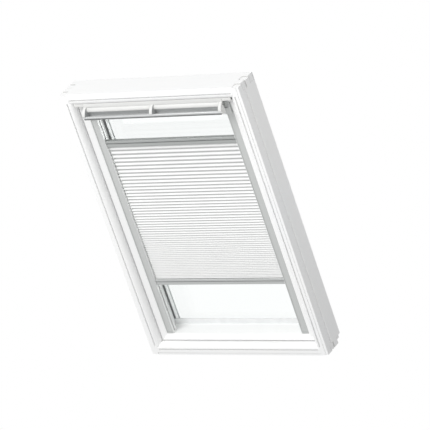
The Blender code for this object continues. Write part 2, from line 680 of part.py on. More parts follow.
def build_control_bar(flap):
    (t_bar, n_bar), r = on_sash(BAR_AT), BAR_ROUND
    front, back = n_bar - BAR_DEPTH / 2, n_bar + BAR_DEPTH / 2
    rest, behind = t_bar - BAR_HEIGHT / 2 - GAP, back + GAP
    plate, high, low = grip_front(), SASH_OUTER + GRIP_HIGH, SASH_OUTER + GRIP_LOW
    foot = [(rest, front), (rest, behind), (t_bar + BAR_HEIGHT / 2 + ARM_BEHIND_BAR, behind),
            (low, behind + low - t_bar - BAR_HEIGHT / 2)]
    for x, word in ((-ARM_AT, "left"), (0.0, "middle"), (ARM_AT, "right")):
        if word == "middle":
            heel = flap_line(-GAP)
            heel += [(heel[-1][0] + GAP, plate - GAP), (low, plate - GAP)]
        else:
            heel = flap_curve(FLAP_WALL) + [(high, plate + GRIP_PLATE), (low, plate + GRIP_PLATE)]
        outline = arm_front() + foot + heel[::-1]
        add_object(f"bar_arm_{word}", crosswise(1, outline, ARM_WIDTH / 2, x), "white_plastic", flap)
    profile = []
    for a, b, start in ((1, 1, 0), (-1, 1, 90), (-1, -1, 180), (1, -1, 270)):
        centre = (t_bar + a * (BAR_HEIGHT / 2 - r), n_bar + b * (BAR_DEPTH / 2 - r))
        profile += arc(centre, (r, r), start, start + 90, 3)
    add_object("control_bar", crosswise(1, profile, ARM_AT + ARM_WIDTH / 2), "grey_aluminium", flap)
    strip = [(high, plate), (low, plate), (low, plate + GRIP_PLATE), (high, plate + GRIP_PLATE)]
    add_object("grip_plate", crosswise(1, strip, FLAP_HALF), "grey_aluminium", flap)


def blind_bar_outline(low):
    """Outline of a blind bar in (z, n), with a finger groove along its face."""
    high = low + BLIND_BAR_HEIGHT
    front, back, edge = BLIND_DEPTH - BLIND_BAR_DEPTH / 2, BLIND_DEPTH + BLIND_BAR_DEPTH / 2, BLIND_BAR_EDGE
    groove_low, groove_high = low + BAR_GROOVE[0], low + BAR_GROOVE[1]
    deep = front + BAR_GROOVE_DEPTH
    return [(low, back - edge), (low, front + edge), (low + edge, front), (groove_low, front),
            (groove_low, deep), (groove_high, deep), (groove_high, front), (high - edge, front),
            (high, front + edge), (high, back - edge), (high - edge, back), (low + edge, back)]


def build_blind_bar(name, low, carrier):
    end = RAIL_INNER + SLIDER_CLEARANCE
    half = WIDTH / 2 - end
    corners = [(-half, depth_y(n), z) for z, n in blind_bar_outline(low)]
    add_object(name, prism(corners, (2 * half, 0, 0)), "grey_aluminium", carrier)
    middle = low + BLIND_BAR_HEIGHT / 2
    tongue = RAIL_SLOT / 2 - SLIDER_CLEARANCE
    for side, word in SIDES:
        slider = box((side_x(side, end - GAP), side_x(side, RAIL_OUTER + RAIL_WALL + SLIDER_CLEARANCE)),
                     (depth_y(BLIND_DEPTH - tongue), depth_y(BLIND_DEPTH + tongue)),
                     (middle - SLIDER_HEIGHT / 2, middle + SLIDER_HEIGHT / 2))
        add_object(f"{name}_slider_{word}", slider, "white_plastic", carrier)


def pleat_folds():
    """Fold points of the cloth in (z, n) from the top bar down, closer together lower down."""
    rest = 1 - PLEAT_TIGHTEST
    heights = [PLEAT_TIGHTEST + rest * (1 - i / PLEATS) ** PLEAT_FALLOFF for i in range(PLEATS)]
    scale = (CLOTH_HIGH - CLOTH_LOW) / sum(heights)
    points = [(CLOTH_HIGH, BLIND_DEPTH)]
    z = CLOTH_HIGH
    for height in heights:
        pitch = height * scale
        half_depth = math.sqrt(PLEAT_FACE ** 2 - (pitch / 2) ** 2) / 2
        points.append((z - pitch / 4, BLIND_DEPTH + half_depth))
        points.append((z - pitch * 3 / 4, BLIND_DEPTH - half_depth))
        z -= pitch
    points.append((CLOTH_LOW, BLIND_DEPTH))
    return points


def build_cloth(sash):
    """The pleated cloth as one thin solid, folded to and fro between the two bars."""
    half = WIDTH / 2 - RAIL_INNER - CLOTH_SIDE_CLEARANCE
    shift = CLOTH_THICKNESS / 2
    folds = pleat_folds()
    outline = [(z, n - shift) for z, n in folds] + [(z, n + shift) for z, n in folds[::-1]]
    corners = [(-half, depth_y(n), z) for z, n in outline]
    add_object("pleated_cloth", prism(corners, (2 * half, 0, 0)), "cloth", sash)


def rail_profile():
    """Outline of a side rail: a channel open towards the cloth, with a sunk band between its face's lips."""
    front, back = RAIL_FACE, RAIL_FACE + RAIL_DEPTH
    outer, inner, wall = RAIL_OUTER, RAIL_INNER, RAIL_WALL
    low, high = BLIND_DEPTH - RAIL_SLOT / 2, BLIND_DEPTH + RAIL_SLOT / 2
    sunk = front + RAIL_SINK
    return [(outer, front), (outer + RAIL_LIP, front), (outer + RAIL_LIP, sunk), (inner - RAIL_LIP, sunk),
            (inner - RAIL_LIP, front), (inner, front), (inner, low), (inner - wall, low),
            (inner - wall, sunk + wall), (outer + wall, sunk + wall), (outer + wall, back - wall),
            (inner - wall, back - wall), (inner - wall, high), (inner, high), (inner, back), (outer, back)]


def build_rails(sash):
    low, high = -RAIL_HALF + RAIL_FOOT, RAIL_HALF
    for side, word in SIDES:
        channel = upright(side, rail_profile(), low + GAP, high)
        add_object(f"blind_rail_{word}", channel, "grey_aluminium", sash)
        foot = box((side_x(side, RAIL_OUTER), side_x(side, RAIL_INNER)),
                   (depth_y(RAIL_FACE), depth_y(RAIL_FACE + RAIL_DEPTH)), (-RAIL_HALF, low))
        add_object(f"rail_foot_{word}", foot, "grey_aluminium", sash)
        near = face_depth(RAIL_OUTER - BRACKET_TOP) - GAP
        face = near - BRACKET_PLATE
        outline = [(high - BRACKET_LOW, face), (high + BRACKET_TOP, face),
                   (high + BRACKET_TOP, near), (high, near), (high, RAIL_FACE - GAP),
                   (high - BRACKET_LOW, RAIL_FACE - GAP)]
        start = side_x(side, RAIL_OUTER + BRACKET_SIDE)
        corners = [(start, depth_y(n), z) for z, n in outline]
        bracket = prism(corners, (-side * BRACKET_WIDTH, 0, 0))
        add_object(f"rail_bracket_{word}", bracket, "grey_aluminium", sash)


def main():
    clear_scene()
    sash = empty_at("sash_pivot", (0, depth_y(PIVOT_DEPTH), 0))
    hinge_t, hinge_n = on_sash(HINGE_AT)
    flap = empty_at("flap_hinge", (0, depth_y(hinge_n), end_z(1, hinge_t)), sash)
    top_bar = empty_at("top_bar_slide", (0, depth_y(BLIND_DEPTH), TOP_BAR_LOW), sash)
    bottom_bar = empty_at("bottom_bar_slide", (0, depth_y(BLIND_DEPTH), BOTTOM_BAR_LOW), sash)
    build_frame()
    build_frame_covers()
    build_seals()
    build_pivots(sash)
    build_sash(sash)
    build_glass(sash)
    build_sash_caps(sash)
    build_flap(flap, sash)
    build_rails(sash)
    build_blind_bar("top_bar", TOP_BAR_LOW, top_bar)
    build_blind_bar("bottom_bar", BOTTOM_BAR_LOW, bottom_bar)
    build_cloth(sash)


main()
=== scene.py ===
import math
import bmesh
import bpy
from mathutils import Matrix, Vector, noise
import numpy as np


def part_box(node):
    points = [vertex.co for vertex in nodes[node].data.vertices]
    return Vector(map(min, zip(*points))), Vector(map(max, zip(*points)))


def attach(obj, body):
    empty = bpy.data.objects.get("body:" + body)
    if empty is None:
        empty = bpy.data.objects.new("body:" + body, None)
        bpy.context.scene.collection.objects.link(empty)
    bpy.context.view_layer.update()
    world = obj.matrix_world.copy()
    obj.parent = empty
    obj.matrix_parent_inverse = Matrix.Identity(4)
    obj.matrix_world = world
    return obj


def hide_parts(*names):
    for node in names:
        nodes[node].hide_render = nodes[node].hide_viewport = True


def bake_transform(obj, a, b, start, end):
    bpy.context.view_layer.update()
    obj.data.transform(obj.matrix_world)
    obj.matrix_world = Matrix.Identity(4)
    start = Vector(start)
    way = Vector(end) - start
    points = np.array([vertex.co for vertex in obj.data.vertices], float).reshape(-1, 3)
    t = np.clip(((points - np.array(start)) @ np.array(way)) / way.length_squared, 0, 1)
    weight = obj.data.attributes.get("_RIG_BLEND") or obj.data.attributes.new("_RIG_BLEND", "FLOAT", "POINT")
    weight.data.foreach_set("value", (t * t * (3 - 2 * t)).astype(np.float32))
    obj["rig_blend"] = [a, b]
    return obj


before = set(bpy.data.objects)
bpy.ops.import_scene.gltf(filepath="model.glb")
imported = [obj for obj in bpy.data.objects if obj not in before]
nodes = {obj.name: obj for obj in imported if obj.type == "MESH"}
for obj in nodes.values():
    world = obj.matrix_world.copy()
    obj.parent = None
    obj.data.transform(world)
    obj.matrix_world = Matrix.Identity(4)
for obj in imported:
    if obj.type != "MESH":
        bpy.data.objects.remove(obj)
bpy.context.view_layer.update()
print("frame loaded:", len(nodes), "nodes")

weldGap = 0.00001  # corners nearer to each other than this are one corner
squareOn = 0.99  # a face whose normal has at least this much along an axis faces that way
noiseSpan = (0.3, 0.7)  # nearly all of a noise lies between these values


# Shader helpers

class Wire:
    # An output of a shader node that can stand in ordinary sums.
    def __init__(self, shader, socket):
        self.shader = shader
        self.socket = socket

    def __add__(self, other):
        return self.shader.maths("ADD", self, other)

    def __sub__(self, other):
        return self.shader.maths("SUBTRACT", self, other)

    def __rsub__(self, other):
        return self.shader.maths("SUBTRACT", other, self)

    def __mul__(self, other):
        return self.shader.maths("MULTIPLY", self, other)

    def __mod__(self, other):
        return self.shader.maths("MODULO", self, other)

    def __pow__(self, other):
        return self.shader.maths("POWER", self, other)

    def __abs__(self):
        return self.shader.maths("ABSOLUTE", self)


class Shader:
    # A material built round one Principled BSDF, with its fixed values set on the sockets.
    def __init__(self, name, **fixed):
        self.material = bpy.data.materials.new(name)
        self.material.use_nodes = True
        self.tree = self.material.node_tree
        self.surface = self.tree.nodes["Principled BSDF"]
        for label, value in fixed.items():
            self.surface.inputs[label.replace("_", " ")].default_value = value

    def node(self, kind, inputs=(), output=0, **settings):
        made = self.tree.nodes.new(kind)
        for key, value in settings.items():
            setattr(made, key, value)
        for key, value in dict(inputs).items():
            if isinstance(value, Wire):
                self.tree.links.new(value.socket, made.inputs[key])
            else:
                made.inputs[key].default_value = value
        return Wire(self, made.outputs[output])

    def maths(self, operation, *values):
        return self.node("ShaderNodeMath", enumerate(values), operation=operation)

    def place(self, kind="Object"):
        return self.node("ShaderNodeTexCoord", output=kind)

    def reading(self, axis, kind="Object"):
        return self.node("ShaderNodeSeparateXYZ", {0: self.place(kind)}, axis)

    def stretched(self, scales, kind="Object"):
        inputs = {0: self.place(kind), 1: scales}
        return self.node("ShaderNodeVectorMath", inputs, operation="MULTIPLY")

    def drawnOut(self, axis, along, across):
        # Coordinates in which a noise is drawn out into streaks along one axis.
        return self.stretched([along if letter == axis else across for letter in "XYZ"])

    def noise(self, vector, scale=1.0, detail=2.0, rough=0.5):
        inputs = {"Vector": vector, "Scale": scale, "Detail": detail, "Roughness": rough}
        return self.node("ShaderNodeTexNoise", inputs)

    def cells(self, scale, randomness=1.0):
        inputs = {"Vector": self.place(), "Scale": scale, "Randomness": randomness}
        return self.node("ShaderNodeTexVoronoi", inputs, "Distance")

    def ramp(self, value, span, start=0.0, stop=1.0):
        inputs = {"Value": value, "From Min": span[0], "From Max": span[1], "To Min": start, "To Max": stop}
        return self.node("ShaderNodeMapRange", inputs)

    def mixWires(self, factor, first, second):
        return self.node("ShaderNodeMix", {0: factor, 6: first, 7: second}, 2, data_type="RGBA")

    def blend(self, factor, first, second):
        return self.mixWires(factor, (*first, 1.0), (*second, 1.0))

    def tones(self, look, value):
        return self.blend(self.ramp(value, look["contrast"]), *look["tones"])

    def finish(self, **wires):
        for label, wire in wires.items():
            self.tree.links.new(wire.socket, self.surface.inputs[label.replace("_", " ")])
        return self.material

    def wear(self, look, colour, shine, height):
        # One noise leads the roughness through the look's range, and another one the relief.
        rough = self.ramp(shine, noiseSpan, *look["roughness"])
        relief = self.node("ShaderNodeBump", {"Height": height, "Distance": look["relief"], "Strength": 1.0})
        return self.finish(Base_Color=colour, Roughness=rough, Normal=relief)

    def letLightThrough(self, tint):
        # Shadow and diffuse rays pass straight through, so that what lies behind the glass is lit.
        straight = self.maths("MAXIMUM", self.node("ShaderNodeLightPath", (), "Is Shadow Ray"),
                              self.node("ShaderNodeLightPath", (), "Is Diffuse Ray"))
        solid = Wire(self, self.surface.outputs[0])
        clear = self.node("ShaderNodeBsdfTransparent", {"Color": (*tint, 1.0)}, "BSDF")
        mixed = self.node("ShaderNodeMixShader", {0: straight, 1: solid, 2: clear})
        self.tree.links.new(mixed.socket, self.tree.nodes["Material Output"].inputs["Surface"])


# Finishes. The noise of a look takes it from the first tone to the second over the span called contrast,
# roughness is a lowest and a highest value, and relief is a depth in metres.

lacquerLook = {
    "tones": ((0.948, 0.946, 0.938), (0.934, 0.938, 0.940)),
    "contrast": (0.3, 0.7),
    "roughness": (0.33, 0.45),
    "relief": 0.00006,
    "grainAlong": 5.0,
    "grainAcross": 330.0,
    "peelScale": 900.0,
    "driftScale": 4.0,
    # The finger seams are dark joint lines with painted shade of the gaps between the fingers.
    "fingers": 4,
    "fingerLength": 0.0280,
    "seamHalfWidth": 0.0017,
    "seamCore": 0.6,
    "seamFade": 0.0003,
    "seamMargins": (0.3, 0.4),
    "seamShadeTone": (0.64, 0.64, 0.63),
}


def fingerSeamShade(shader, along, corner):
    # Dark lines with painted gap shade between a corner joint's fingers; they stop short of front and back.
    look = lacquerLook
    low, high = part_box("frame_head")
    deep = high.y - low.y
    finger = deep / look["fingers"]
    depth = shader.reading("Y") - low.y
    away = finger / 2 - abs(depth % finger - finger / 2)
    half, start = look["seamHalfWidth"], corner - look["fingerLength"]
    line = shader.ramp(away, (half * look["seamCore"], half), 1.0, 0.0)
    reached = shader.ramp(abs(shader.reading(along)), (start, start + look["seamFade"]))
    faded, full = (finger * share for share in look["seamMargins"])
    pastFront = shader.ramp(depth, (faded, full))
    beforeBack = shader.ramp(depth, (deep - faded, deep - full))
    return line * reached * pastFront * beforeBack


def lacquer(name, along, corner=0.0):
    # White lacquer over wood: faint grain along the member, fine orange peel and a slow drift of tone.
    # A frame member gives the reach of its corner, and gets its finger joints' dark lines with painted
    # shade.
    look = lacquerLook
    shader = Shader(name, Metallic=0.0, Coat_Roughness=0.2)
    streaks = shader.drawnOut(along, look["grainAlong"], look["grainAcross"])
    grain = shader.noise(streaks, detail=5.0, rough=0.6)
    peel = shader.noise(shader.place(), look["peelScale"])
    drift = shader.noise(shader.place(), look["driftScale"], detail=3.0)
    colour = shader.tones(look, drift * 0.7 + grain * 0.3)
    if corner:
        colour = shader.mixWires(fingerSeamShade(shader, along, corner), colour, (*look["seamShadeTone"], 1.0))
    return shader.wear(look, colour, peel * 0.5 + drift * 0.5, grain + peel * 0.35)


plasticLook = {
    "tones": ((0.735, 0.736, 0.722), (0.700, 0.701, 0.688)),
    "contrast": (0.35, 0.65),
    "roughness": (0.30, 0.42),
    "relief": 0.00003,
    "textureScale": 2600.0,
    "flowAlong": 6.0,
    "flowAcross": 60.0,
}


def plastic(name):
    # Moulded white plastic: fine spark-eroded texture and faint flow marks.
    look = plasticLook
    shader = Shader(name, Metallic=0.0, Coat_Weight=0.08, Coat_Roughness=0.25)
    texture = shader.noise(shader.place(), look["textureScale"], detail=3.0, rough=0.6)
    flow = shader.noise(shader.drawnOut("X", look["flowAlong"], look["flowAcross"]), detail=3.0)
    return shader.wear(look, shader.tones(look, flow), texture * 0.6 + flow * 0.4, texture)


anodisedLook = {
    "contrast": (0.32, 0.68),
    "roughness": (0.30, 0.44),
    "relief": 0.000012,
    "lineAlong": 3.0,
    "lineAcross": 4200.0,
    "bandAlong": 1.2,
    "bandAcross": 240.0,
    "speckScale": 3000.0,
    # The next four values give the painted light on the rail's shaded faces: tones, width, depth and fade.
    "paintedLightTones": ((0.750, 0.756, 0.750), (0.800, 0.805, 0.798)),
    "stripWidth": 0.0006,
    "stripSunk": 0.0040,
    "stripFade": 0.0004,
}

# The direction in which each part is drawn, its tones and how metallic it looks.
anodisedParts = {
    "rail": {"along": "Z", "tones": ((0.510, 0.522, 0.514), (0.560, 0.572, 0.564)), "metallic": 0.2},
    "bar": {"along": "X", "tones": ((0.335, 0.348, 0.342), (0.385, 0.398, 0.392)), "metallic": 0.45},
    # The bottom bar's tones are lighter than the top bar's: painted light for the less light it gets.
    "bottom_bar_painted_light": {"along": "X", "tones": ((0.445, 0.457, 0.451), (0.500, 0.512, 0.506)), "metallic": 0.45},
    "grip_plate": {"along": "X", "tones": ((0.41, 0.42, 0.42), (0.47, 0.48, 0.48)), "metallic": 0.45},
    "control_bar": {"along": "X", "tones": ((0.51, 0.52, 0.52), (0.57, 0.58, 0.58)), "metallic": 0.45},
    # The row below is painted shade for the sheets on the arms' inner sides.
    "cheek": {"along": "Z", "tones": ((0.36, 0.37, 0.37), (0.42, 0.43, 0.43)), "metallic": 0.2},
}


def paintedLightStrip(shader):
    # Painted light: paler tones on the rail's edge towards the cloth and on its deeper faces, which lie in
    # shade.
    look = anodisedLook
    inner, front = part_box("blind_rail_right")[0].xy
    within, behind = inner + look["stripWidth"], front + look["stripSunk"]
    edge = shader.ramp(abs(shader.reading("X")), (within, within + look["stripFade"]), 1.0, 0.0)
    deeper = shader.ramp(shader.reading("Y"), (behind, behind + look["stripFade"]))
    return shader.maths("MAXIMUM", edge, deeper)


def anodised(part):
    # Satin anodised extrusion: hair-fine drawing lines along it and slow bands of tone.
    look = {**anodisedLook, **anodisedParts[part]}
    shader = Shader(f"{part}_anodised", Metallic=look["metallic"], Specular_IOR_Level=0.4)
    lines = shader.noise(shader.drawnOut(look["along"], look["lineAlong"], look["lineAcross"]))
    band = shader.noise(shader.drawnOut(look["along"], look["bandAlong"], look["bandAcross"]))
    speck = shader.noise(shader.place(), look["speckScale"], detail=1.0)
    colour = shader.tones(look, band * 0.6 + lines * 0.4)
    if part == "rail":
        # The rail's shaded edge and deeper faces get paler tones as painted light.
        colour = shader.mixWires(paintedLightStrip(shader), colour, shader.blend(band, *look["paintedLightTones"]))
    return shader.wear(look, colour, lines * 0.7 + speck * 0.3, lines)


coverLook = {
    "tones": ((0.630, 0.638, 0.643), (0.680, 0.688, 0.692)),
    "contrast": (0.35, 0.65),
    "roughness": (0.42, 0.58),
    "relief": 0.00004,
    "pimpleScale": 1500.0,
    "dustScale": 18.0,
}


def coverLacquer(name):
    # Coil-coated sheet: powdery grey with a fine pimpled surface and a little dust.
    look = coverLook
    shader = Shader(name, Metallic=0.25)
    pimples = shader.noise(shader.place(), look["pimpleScale"], detail=3.0, rough=0.6)
    dust = shader.noise(shader.place(), look["dustScale"], detail=6.0, rough=0.65)
    return shader.wear(look, shader.tones(look, dust * 0.7 + pimples * 0.3), dust, pimples)


zincLook = {
    "tones": ((0.50, 0.50, 0.485), (0.66, 0.66, 0.64)),
    "contrast": (0.2, 0.9),
    "roughness": (0.26, 0.42),
    "relief": 0.00002,
    "crystalScale": 420.0,
    "scratchAlong": 60.0,
    "scratchAcross": 2600.0,
}


def zinc(name):
    # Zinc-plated steel: soft crystal patches and fine rolling scratches.
    look = zincLook
    shader = Shader(name, Metallic=1.0)
    crystals = shader.cells(look["crystalScale"])
    scratches = shader.noise(shader.drawnOut("Z", look["scratchAlong"], look["scratchAcross"]), detail=3.0)
    return shader.wear(look, shader.tones(look, crystals + scratches * 0.4), scratches, scratches)


rubberLook = {
    "contrast": (0.35, 0.7),
    "roughness": (0.55, 0.75),
    "relief": 0.00004,
    "skinScale": 2200.0,
    "bloomScale": 30.0,
}

rubberTones = {
    "black_seal": ((0.155, 0.158, 0.160), (0.195, 0.198, 0.202)),
    # The row below is painted shade for the strip under the control bar.
    "underside_shade": ((0.16, 0.165, 0.165), (0.21, 0.215, 0.215)),
    # The row below is painted shade of a slot across each rail bracket.
    "bracket_slot_shade": ((0.10, 0.10, 0.10), (0.15, 0.15, 0.15)),
    "white_seal": ((0.76, 0.77, 0.77), (0.82, 0.83, 0.83)),
}


def rubber(name):
    # Extruded rubber or soft plastic with a fine skin and a little bloom.
    look = {**rubberLook, "tones": rubberTones[name]}
    shader = Shader(name, Metallic=0.0, Specular_IOR_Level=0.35)
    skin = shader.noise(shader.place(), look["skinScale"], detail=4.0, rough=0.65)
    bloom = shader.noise(shader.place(), look["bloomScale"], detail=4.0, rough=0.6)
    return shader.wear(look, shader.tones(look, bloom), bloom * 0.5 + skin * 0.5, skin)


glassLook = {
    "tones": ((0.992, 1.0, 0.998), (0.988, 0.998, 0.996)),
    "tint": (0.97, 0.98, 0.975),
    "filmScale": 9.0,
    "smearAlong": 3.0,
    "smearAcross": 14.0,
    "smearSpan": (0.45, 0.75),
    "smearRoughness": 0.02,
}


def glass(name):
    # Clear float glass with the faintest film on it.
    look = glassLook
    shader = Shader(name, Metallic=0.0, Transmission_Weight=1.0, IOR=1.33)
    film = shader.noise(shader.place(), look["filmScale"], detail=5.0, rough=0.6)
    smear = shader.noise(shader.drawnOut("Z", look["smearAlong"], look["smearAcross"]), detail=3.0)
    rough = shader.ramp(film * 0.5 + smear * 0.5, look["smearSpan"], 0.0, look["smearRoughness"])
    material = shader.finish(Base_Color=shader.blend(film, *look["tones"]), Roughness=rough)
    shader.letLightThrough(look["tint"])
    return material


spacerLook = {
    "tones": ((0.93, 0.935, 0.935), (0.965, 0.965, 0.965)),
    "holeTone": (0.75, 0.75, 0.75),
    "roughness": (0.38, 0.5),
    "relief": 0.0002,
    "holeScale": 330.0,
    "holeEdge": (0.16, 0.24),
    "toneScale": 60.0,
}


def spacerMetal(name):
    # Dull roll-formed spacer with its rows of breather holes.
    look = spacerLook
    shader = Shader(name, Metallic=0.15)
    solid = shader.ramp(shader.cells(look["holeScale"], randomness=0.0), look["holeEdge"])
    tone = shader.noise(shader.place(), look["toneScale"], detail=3.0)
    colour = shader.mixWires(solid, (*look["holeTone"], 1.0), shader.blend(tone, *look["tones"]))
    return shader.wear(look, colour, tone, solid)


fleeceLook = {
    "tones": ((0.055, 0.055, 0.057), (0.135, 0.135, 0.138)),
    "contrast": (0.35, 0.65),
    "roughness": (0.85, 1.0),
    "relief": 0.0005,
    "fibreAlong": 900.0,
    "fibreAcross": 2400.0,
    "clumpScale": 220.0,
}


def fleece(name):
    # Dark filter fleece of short fibres in loose clumps.
    look = fleeceLook
    shader = Shader(name, Metallic=0.0, Sheen_Weight=0.2)
    streaks = shader.drawnOut("X", look["fibreAlong"], look["fibreAcross"])
    fibres = shader.noise(streaks, detail=6.0, rough=0.7)
    clumps = shader.noise(shader.place(), look["clumpScale"], detail=4.0, rough=0.6)
    colour = shader.tones(look, fibres * 0.6 + clumps * 0.4)
    return shader.wear(look, colour, fibres, fibres + clumps)


clothLook = {
    "tones": ((0.880, 0.883, 0.878), (0.928, 0.930, 0.923)),
    "contrast": (0.25, 0.75),
    "roughness": (0.78, 0.92),
    "relief": 0.00005,
    "thread": 0.00042,
    "slubScale": 260.0,
    "slubStretch": 12.0,
    "driftScale": 7.0,
    # The next three values are painted shade in the pleats' valleys: its tone, strength and focus.
    "foldShadeTone": (0.360, 0.366, 0.362),
    "foldShadeStrength": 0.95,
    "foldShadeFocus": 2.0,
}


def wovenCloth(name):
    # Plain weave of fine polyester threads, one set along each pleat and one across it.
    look = clothLook
    shader = Shader(name, Metallic=0.0, Sheen_Weight=0.15, Sheen_Roughness=0.4)
    u, v = (shader.reading(axis, "UV") * (math.pi / look["thread"]) for axis in "XY")
    over = shader.maths("SINE", u) * shader.maths("SINE", v)
    ribs = abs(shader.maths("COSINE", u))
    rows = abs(shader.maths("COSINE", v))
    weave = over * 0.25 + ribs * 0.3 + rows * 0.3
    slubScales = (look["slubScale"], look["slubScale"] * look["slubStretch"], 1.0)
    slub = shader.noise(shader.stretched(slubScales, "UV"), detail=3.0)
    drift = shader.noise(shader.place(), look["driftScale"], detail=3.0)
    colour = shader.tones(look, weave * 0.5 + slub * 0.35 + drift * 0.25)
    # Painted shade darkens the cloth towards the folds behind, in the pleats' valleys.
    fold_shade = shader.node("ShaderNodeAttribute", (), "Fac", attribute_name="fold_shade")
    shaded = fold_shade ** look["foldShadeFocus"] * look["foldShadeStrength"]
    colour = shader.mixWires(shaded, colour, (*look["foldShadeTone"], 1.0))
    return shader.wear(look, colour, slub, weave + slub)


def makeFinishes():
    makers = {
        "white_moulding": plastic,
        "grey_cover": coverLacquer,
        "zinc_plate": zinc,
        "clear_pane": glass,
        "spacer_strip": spacerMetal,
        "fleece": fleece,
        "pleated_weave": wovenCloth,
    }
    finishes = {name: maker(name) for name, maker in makers.items()}
    finishes.update({name: rubber(name) for name in rubberTones})
    finishes.update({f"{part}_anodised": anodised(part) for part in anodisedParts})
    corners = {"x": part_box("frame_jamb_right")[1].x, "z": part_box("frame_head")[1].z}
    for axis, corner in corners.items():
        for kind, reach in (("white", 0.0), ("jointed", corner)):
            name = f"{kind}_lacquer_{axis}"
            finishes[name] = lacquer(name, axis.upper(), reach)
    return finishes


# Carried-over parts

edgeWidths = {"timber": 0.0011, "thin": 0.0004, "profile": 0.0003, "steel": 0.0002}
edgeShape = {"segments": 3, "sharperThan": 28.0}

# A node takes the first row with a word that its name starts with: its finish and the kind of its edges.
nodeFinishes = (
    (("frame_seal", "glazing_gasket", "setting_block"), "black_seal", None),
    (("frame_jamb",), "jointed_lacquer_z", "timber"),
    (("frame_head", "frame_sill"), "jointed_lacquer_x", "timber"),
    (("sash_stile",), "white_lacquer_z", "timber"),
    (("sash_head", "sash_sill"), "white_lacquer_x", "timber"),
    (("sash_cap", "jamb_cover", "head_cover", "sill_cover"), "grey_cover", "thin"),
    (("blind_rail", "rail_foot", "rail_bracket"), "rail_anodised", "profile"),
    (("top_bar_slider", "bottom_bar_slider"), "white_moulding", "thin"),
    (("vent_flap", "bar_arm", "flap_hinge_block"), "white_moulding", "thin"),
    (("top_bar",), "bar_anodised", "profile"),
    # The bottom bar's lighter finish is painted light.
    (("bottom_bar",), "bottom_bar_painted_light_anodised", "profile"),
    (("grip_plate",), "grip_plate_anodised", "profile"),
    (("control_bar",), "control_bar_anodised", "thin"),
    (("inner_pane", "outer_pane"), "clear_pane", None),
    (("spacer_bar",), "spacer_strip", None),
    (("vent_filter",), "fleece", None),
    (("",), "zinc_plate", "steel"),
)


def dressNodes(finishes):
    for name in nodes:
        part = nodes[name]
        finish, edge = next(row[1:] for row in nodeFinishes if name.startswith(row[0]))
        part.data.materials.clear()
        part.data.materials.append(finishes[finish])
        if edge:
            weld = part.modifiers.new("weld", "WELD")
            weld.merge_threshold = weldGap
            bevel = part.modifiers.new("edge", "BEVEL")
            bevel.width = edgeWidths[edge]
            bevel.segments = edgeShape["segments"]
            bevel.limit_method = "ANGLE"
            bevel.angle_limit = math.radians(edgeShape["sharperThan"])
            bevel.harden_normals = True


# Pieces

def finishPiece(name, bm, material, body, smoothAngle=35.0):
    bmesh.ops.recalc_face_normals(bm, faces=bm.faces)
    mesh = bpy.data.meshes.new(name)
    bm.to_mesh(mesh)
    bm.free()
    mesh.materials.append(material)
    mesh.shade_smooth()
    mesh.set_sharp_from_angle(angle=math.radians(smoothAngle))
    piece = bpy.data.objects.new(name, mesh)
    bpy.context.scene.collection.objects.link(piece)
    if body:
        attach(piece, body)
    return piece


def newCorners(extruded):
    return [part for part in extruded["geom"] if isinstance(part, bmesh.types.BMVert)]


def roundEdges(bm, edges, width, segments):
    bmesh.ops.bevel(bm, geom=list(edges), offset=width, affect="EDGES", segments=segments, profile=0.5,
                    material=-1, clamp_overlap=True)


def roundedBlock(low, high, along, ends):
    # A block whose long edges along X and whose end rims are rounded by their own radii.
    bm = bmesh.new()
    bmesh.ops.create_cube(bm, size=1.0)
    bmesh.ops.scale(bm, vec=high - low, verts=bm.verts)
    bmesh.ops.translate(bm, vec=(low + high) / 2, verts=bm.verts)
    length = high.x - low.x
    longEdges = [edge for edge in bm.edges if abs(edge.verts[0].co.x - edge.verts[1].co.x) > length / 2]
    roundEdges(bm, longEdges, along, segments=4)
    caps = {face for face in bm.faces if abs(face.normal.x) > squareOn}
    roundEdges(bm, {edge for face in caps for edge in face.edges}, ends, segments=3)
    return bm


def prism(outline, start, stop, rounding):
    # An outline in (y, z) drawn out along X, with all its edges rounded.
    bm = bmesh.new()
    face = bm.faces.new([bm.verts.new((start, y, z)) for y, z in outline])
    grown = bmesh.ops.extrude_face_region(bm, geom=[face])
    bmesh.ops.translate(bm, vec=(stop - start, 0, 0), verts=newCorners(grown))
    bmesh.ops.recalc_face_normals(bm, faces=bm.faces)
    roundEdges(bm, bm.edges, rounding, segments=3)
    return bm


# All lengths are in shares of the head's radius.
screwSizes = {
    "segments": 36,
    "headHeight": 0.55,
    "taper": 0.94,
    "rim": 0.16,
    "recess": 0.56,
    "recessDepth": 0.35,
    "lobes": 6,
    "lobeDepth": 0.3,
}


def highestFace(bm):
    return max(bm.faces, key=lambda face: face.calc_center_median().z)


def screwShape():
    # A pan head of radius 1 facing +Z, with a six-lobed recess.
    sizes = screwSizes
    bm = bmesh.new()
    bmesh.ops.create_cone(bm, cap_ends=True, segments=sizes["segments"], radius1=1.0, radius2=sizes["taper"],
                          depth=sizes["headHeight"])
    roundEdges(bm, highestFace(bm).edges, sizes["rim"], segments=3)
    top = highestFace(bm)
    bmesh.ops.inset_region(bm, faces=[top], thickness=1.0 - sizes["rim"] - sizes["recess"])
    for vertex in top.verts:
        angle = math.atan2(vertex.co.y, vertex.co.x)
        reach = 1 - sizes["lobeDepth"] * (1 + math.cos(sizes["lobes"] * angle)) / 2
        vertex.co.x *= reach
        vertex.co.y *= reach
    floor = bmesh.ops.extrude_discrete_faces(bm, faces=[top])["faces"][0]
    bmesh.ops.translate(bm, vec=(0, 0, -sizes["recessDepth"]), verts=floor.verts)
    mesh = bpy.data.meshes.new("screw_shape")
    bm.to_mesh(mesh)
    bm.free()
    return mesh


